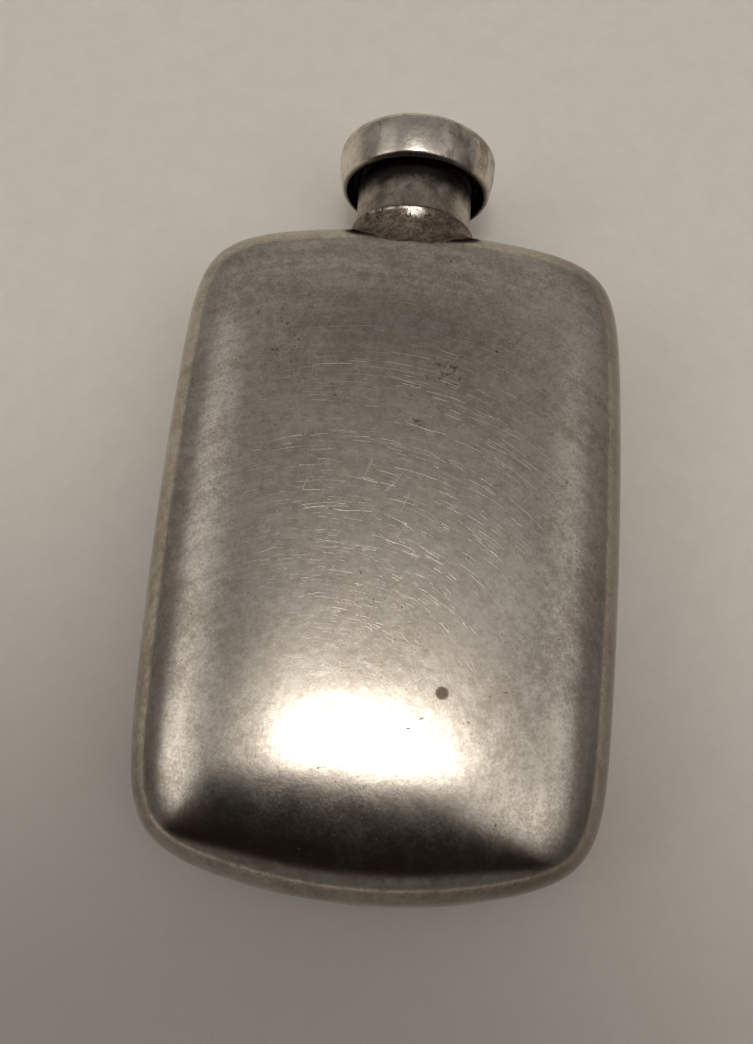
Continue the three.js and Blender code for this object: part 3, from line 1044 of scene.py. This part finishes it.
def make_floor():
    """Pale paper, a little darker towards the viewer, where less light falls on it."""
    mesh = bpy.data.meshes.new("paper_floor")
    half = FLOOR_HALF * MM
    corners = [(-half, -half, 0), (half, -half, 0), (half, half, 0), (-half, half, 0)]
    mesh.from_pydata(corners, [], [(0, 1, 2, 3)])
    floor = bpy.data.objects.new("paper_floor", mesh)
    bpy.context.scene.collection.objects.link(floor)
    material, graph = new_material("paper")
    place = graph.millimetres()
    x, y, _ = graph.split(place)
    nearness = graph.vector("DISTANCE", graph.join(x, y), SHADE_PLACE)
    dim = graph.ramp(nearness, 80.0, 28.0)
    fibre = graph.noise(place, 0.5, detail=6.0, roughness=0.7)
    base = graph.mix(dim, PAPER_BRIGHT, PAPER_DIM)
    base = graph.mix(graph.ramp(fibre, 0.3, 0.7) * 0.06, base, PAPER_FIBRE)
    normal = graph.bump(graph.noise(place, 2.0, detail=5.0, roughness=0.7) * 0.05, MM)
    end_material(graph, Base_Color=base, Roughness=0.9, Normal=normal)
    mesh.materials.append(material)
    return floor


LIGHT_TINT = (1.0, 0.965, 0.92)
FIGURE_TINT = (1.0, 0.66, 0.56)
DIFFUSE_GAIN = 0.70
BACKDROP = (0.50, 0.465, 0.41)


def tall_patch(graph, place, x, y, half_width, half_height):
    """1 in the middle of an upright oval of the sky, fading to its edge."""
    offset = graph.vector("SUBTRACT", place, (x, y, 0))
    away = graph.vector("MULTIPLY", offset, (1 / half_width, 1 / half_height, 0))
    return graph.ramp(graph.vector("LENGTH", away), 1.5, 0.2)


def soft_patch(graph, place, x, y, radius, softness):
    """1 inside a round patch of the sky whose centre leans x, y degrees from straight up."""
    away = graph.vector("DISTANCE", place, (x, y, 0))
    return graph.ramp(away, radius + softness, radius - softness)


def make_surround():
    """The room round the object as light.

    A lamp hangs overhead, pale walls stand on each side, and the figure of a person darkens the
    near side. Places are degrees of lean from straight up: across to the right, up to the far side.
    """
    world = bpy.data.worlds.new("surround")
    bpy.context.scene.world = world
    world.use_nodes = True
    graph = Graph(world.node_tree)
    look = Field(graph, graph.node("ShaderNodeTexCoord").outputs["Generated"])
    x, y, z = graph.split(look)
    lean = graph.math("DEGREES", graph.math("ARCCOSINE", z))
    flat = graph.vector("NORMALIZE", graph.join(x, y))
    place = graph.vector("SCALE", flat, scale=lean)
    across, up, _ = graph.split(place)

    lamp_lean = graph.vector("LENGTH", graph.join((across + 1.5) / 2.1, up + 1.2))
    lamp = graph.ramp(lamp_lean, 5.6, 0.4) * graph.ramp(up, -5.2, -3.0) * 19.0
    glow = graph.ramp(lamp_lean, 13.0, 3.0) * 0.9 + graph.ramp(lamp_lean, 26.0, 8.0) * 0.15
    left = tall_patch(graph, place, -44, -6, 15, 36) * 0.5
    left = left + tall_patch(graph, place, -48, -10, 12, 16) * 0.5
    right = tall_patch(graph, place, 40, -8, 14, 34) * 0.40
    right = right + tall_patch(graph, place, 26, -18, 16, 12) * 0.45
    beside = tall_patch(graph, place, 18, -3, 11, 18) * 0.26
    beside = beside + tall_patch(graph, place, -17, -10, 7, 8) * 0.3
    beyond = graph.ramp(up, -10.0, 55.0, 0.13, 0.26)
    beyond = beyond - soft_patch(graph, place, 0, 35, 8, 10) * 0.10
    figure = (
        graph.ramp(up, -6.0, -10.0)
        * graph.ramp(across + up * 1.0, 0.0, -14.0)
        * graph.ramp(across - up * 0.75, -28.0, -16.0)
        * graph.ramp(up, -72.0, -60.0)
    )
    light = (beyond + glow + left + right + beside) * (1.0 - figure * 0.93) + lamp
    # The paper's light is a little stronger than what the silver mirrors
    rays = graph.node("ShaderNodeLightPath")
    light = light * (Field(graph, rays.outputs["Is Diffuse Ray"]) * DIFFUSE_GAIN + 1.0)
    tint = graph.mix(graph.ramp(up, -18.0, -34.0) * figure, LIGHT_TINT, FIGURE_TINT)
    colour = graph.vector("SCALE", tint, scale=light)

    surround = graph.node("ShaderNodeBackground")
    graph.give(surround.inputs["Color"], colour)
    backdrop = graph.node("ShaderNodeBackground")
    graph.give(backdrop.inputs["Color"], BACKDROP)
    choice = graph.node("ShaderNodeMixShader")
    graph.tree.links.new(rays.outputs["Is Camera Ray"], choice.inputs[0])
    graph.tree.links.new(surround.outputs[0], choice.inputs[1])
    graph.tree.links.new(backdrop.outputs[0], choice.inputs[2])
    output = graph.node("ShaderNodeOutputWorld")
    graph.tree.links.new(choice.outputs[0], output.inputs["Surface"])


# The camera looks down on the case from a little to its near side. Angles in degrees.
CAMERA_PITCH = 15.98
CAMERA_YAW = 1.09
CAMERA_ROLL = 4.54
CAMERA_FROM_CASE = (-0.633, 1.7235, 78.32)
LENS = 41.38
SENSOR = 36.0


def make_camera():
    data = bpy.data.cameras.new("camera")
    data.lens = LENS
    data.sensor_width = SENSOR
    data.clip_start = 0.001
    data.clip_end = 100
    camera = bpy.data.objects.new("camera", data)
    bpy.context.scene.collection.objects.link(camera)
    turn_by = Euler(
        (math.radians(CAMERA_PITCH), math.radians(CAMERA_YAW), math.radians(CAMERA_ROLL)), "ZYX"
    ).to_matrix()
    case_centre = Vector((0, CASE_CENTRE_Y, MID_PLANE)) * MM
    place = case_centre + turn_by @ (Vector(CAMERA_FROM_CASE) * MM)
    camera.matrix_world = Matrix.Translation(place) @ turn_by.to_4x4()
    bpy.context.scene.camera = camera
    return camera


# ---------------------------------------------------------------- the whole scene


bpy.context.scene.view_settings.view_transform = "Standard"
make_camera()
make_floor()
make_surround()

front_silver = case_silver("front_silver", front=True)
make_shell("front_half", "front_shell", 1, DEPTH, front_silver, seed=3)
back_silver = case_silver("back_silver", front=False)
make_shell("back_half", "back_shell", -1, BACK_CROWN, back_silver, seed=17)
solder = solder_metal("solder")
make_seam(solder)
make_neck(neck_silver("neck_silver"))
make_fillet(solder)
lining = cap_lining_shade("cap_lining_shade")
make_cap(cap_silver("cap_silver"), lining)
make_sleeve(lining)
make_liner(cork_material("cork"))
